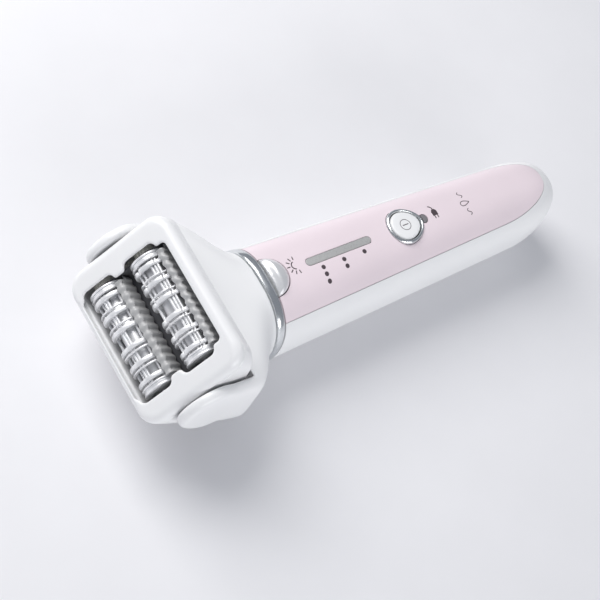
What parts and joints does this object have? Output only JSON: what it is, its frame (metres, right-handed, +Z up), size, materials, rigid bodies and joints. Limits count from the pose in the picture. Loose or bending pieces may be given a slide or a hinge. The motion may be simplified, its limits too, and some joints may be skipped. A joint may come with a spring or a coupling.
{
  "type": "epilator",
  "caption": "Cordless epilator with a slim pink-fronted handle, chrome collar, lamp lens, and a forked neck carrying a swivelling head with twin tweezer drums.",
  "frame": {"origin": "bottom centre of the whole, on the plane that the flat strip on the handle's back rests on", "axes": "+X along the handle from the head to the tail, +Y across, +Z up out of the front panel, with the part lying on its back"},
  "size_m": [0.1954, 0.066, 0.0541],
  "materials": {
    "white_plastic": "satin moulded",
    "pink_panel": "soft satin, fine texture",
    "chrome_trim": "polished plating",
    "frosted_lens": "frosted",
    "window_grey": "satin",
    "smoked_lens": "smooth",
    "comb_grey": "translucent",
    "dark_plastic": "moulded",
    "gear_plastic": "moulded",
    "board_green": "solder mask",
    "cell_wrap": "shrink wrap",
    "seal_rubber": "smooth",
    "steel": "fine brushed",
    "brass_parts": "bright"
  },
  "bodies": {
    "handle": {"rear_shell": "white_plastic", "front_panel": "pink_panel", "neck_ring": "chrome_trim", "light_lens": "frosted_lens", "speed_window": "window_grey", "button_bezel": "chrome_trim", "charge_lamp_lens": "smoked_lens", "release_spring": "steel", "neck_bulkhead": "dark_plastic", "shaft_seal": "seal_rubber", "chassis": "dark_plastic", "drive_motor": "steel", "motor_screw_left": "steel", "motor_screw_right": "steel", "reduction_axle": "steel", "battery_cell": "cell_wrap", "battery_contact_front": "brass_parts", "battery_contact_rear": "brass_parts", "circuit_board": "board_green", "button_switch": "dark_plastic", "light_led": "frosted_lens", "speed_led": "frosted_lens", "socket_housing": "dark_plastic", "socket_pin_left": "brass_parts", "socket_pin_right": "brass_parts"},
    "power_button": {"power_button": "white_plastic"},
    "release_button": {"release_button": "white_plastic"},
    "motor_rotor": {"motor_pinion": "brass_parts"},
    "reduction_gear": {"reduction_gear": "gear_plastic"},
    "output_gear": {"output_gear": "gear_plastic"},
    "yoke": {"yoke_housing": "white_plastic", "pivot_pin": "steel", "pivot_axle": "steel"},
    "head_shaft": {"head_drive_shaft": "gear_plastic"},
    "transfer_gear": {"transfer_gear": "gear_plastic"},
    "head": {"head_base": "white_plastic", "drum_cradle": "dark_plastic", "front_comb": "comb_grey", "rear_comb": "comb_grey", "front_drum_axle": "steel", "rear_drum_axle": "steel"},
    "skin_cap": {"skin_frame": "white_plastic"},
    "front_drum": {"front_drum": "steel", "front_drum_gear": "gear_plastic"},
    "rear_drum": {"rear_drum": "steel", "rear_drum_gear": "gear_plastic"},
    "front_blades_left": {"front_blades_left": "steel"},
    "front_blades_right": {"front_blades_right": "steel"},
    "rear_blades_left": {"rear_blades_left": "steel"},
    "rear_blades_right": {"rear_blades_right": "steel"}
  },
  "joints": [
    {"name": "power_button_press", "type": "slide", "parent": "handle", "child": "power_button", "axis": [0, 0, -1], "range_m": [0, 0.0006], "stiffness_N_per_m": 400},
    {"name": "release_button_press", "type": "slide", "parent": "handle", "child": "release_button", "axis": [0, 0, 1], "range_m": [0, 0.001], "stiffness_N_per_m": 400, "deforming": ["release_spring"]},
    {"name": "motor_spin", "type": "hinge", "parent": "handle", "child": "motor_rotor", "pos_m": [-0.02828, 0, 0.012], "axis": [1, 0, 0], "continuous": true},
    {"name": "reduction_spin", "type": "hinge", "parent": "handle", "child": "reduction_gear", "pos_m": [-0.02828, 0, 0.01875], "axis": [1, 0, 0], "continuous": true},
    {"name": "output_spin", "type": "hinge", "parent": "handle", "child": "output_gear", "pos_m": [-0.02828, 0, 0.028], "axis": [1, 0, 0], "continuous": true},
    {"name": "yoke_pull", "type": "slide", "parent": "handle", "child": "yoke", "axis": [-1, 0, 0], "range_m": [0, 0.014]},
    {"name": "head_shaft_spin", "type": "hinge", "parent": "yoke", "child": "head_shaft", "pos_m": [-0.06228, 0, 0.028], "axis": [1, 0, 0], "continuous": true},
    {"name": "transfer_spin", "type": "hinge", "parent": "yoke", "child": "transfer_gear", "pos_m": [-0.07528, 0.021, 0.028], "axis": [0, 1, 0], "continuous": true},
    {"name": "head_swivel", "type": "hinge", "parent": "yoke", "child": "head", "pos_m": [-0.07528, 0, 0.028], "axis": [0, 1, 0], "range_deg": [-85, 5]},
    {"name": "skin_cap_pull", "type": "slide", "parent": "head", "child": "skin_cap", "axis": [-0.766, 0, 0.6428], "range_m": [0, 0.011]},
    {"name": "rear_drum_spin", "type": "hinge", "parent": "head", "child": "rear_drum", "pos_m": [-0.07573, 0, 0.0396], "axis": [0, 1, 0], "continuous": true},
    {"name": "front_drum_spin", "type": "hinge", "parent": "head", "child": "front_drum", "pos_m": [-0.08679, 0, 0.02643], "axis": [0, 1, 0], "continuous": true},
    {"name": "front_blades_left_close", "type": "slide", "parent": "front_drum", "child": "front_blades_left", "axis": [0, -1, 0], "range_m": [0, 0.0005], "stiffness_N_per_m": 200},
    {"name": "front_blades_right_close", "type": "slide", "parent": "front_drum", "child": "front_blades_right", "axis": [0, 1, 0], "range_m": [0, 0.0005], "stiffness_N_per_m": 200},
    {"name": "rear_blades_left_close", "type": "slide", "parent": "rear_drum", "child": "rear_blades_left", "axis": [0, -1, 0], "range_m": [0, 0.0005], "stiffness_N_per_m": 200},
    {"name": "rear_blades_right_close", "type": "slide", "parent": "rear_drum", "child": "rear_blades_right", "axis": [0, 1, 0], "range_m": [0, 0.0005], "stiffness_N_per_m": 200}
  ],
  "couplings": [
    {"joint": "front_drum_spin", "follows": "rear_drum_spin", "ratio": 1},
    {"joint": "transfer_spin", "follows": "rear_drum_spin", "ratio": -0.4},
    {"joint": "head_shaft_spin", "follows": "rear_drum_spin", "ratio": 0.6},
    {"joint": "output_spin", "follows": "rear_drum_spin", "ratio": 0.6},
    {"joint": "reduction_spin", "follows": "rear_drum_spin", "ratio": -0.70588},
    {"joint": "motor_spin", "follows": "rear_drum_spin", "ratio": 1.2},
    {"joint": "front_blades_right_close", "follows": "front_blades_left_close", "ratio": 1},
    {"joint": "rear_blades_right_close", "follows": "rear_blades_left_close", "ratio": 1}
  ]
}
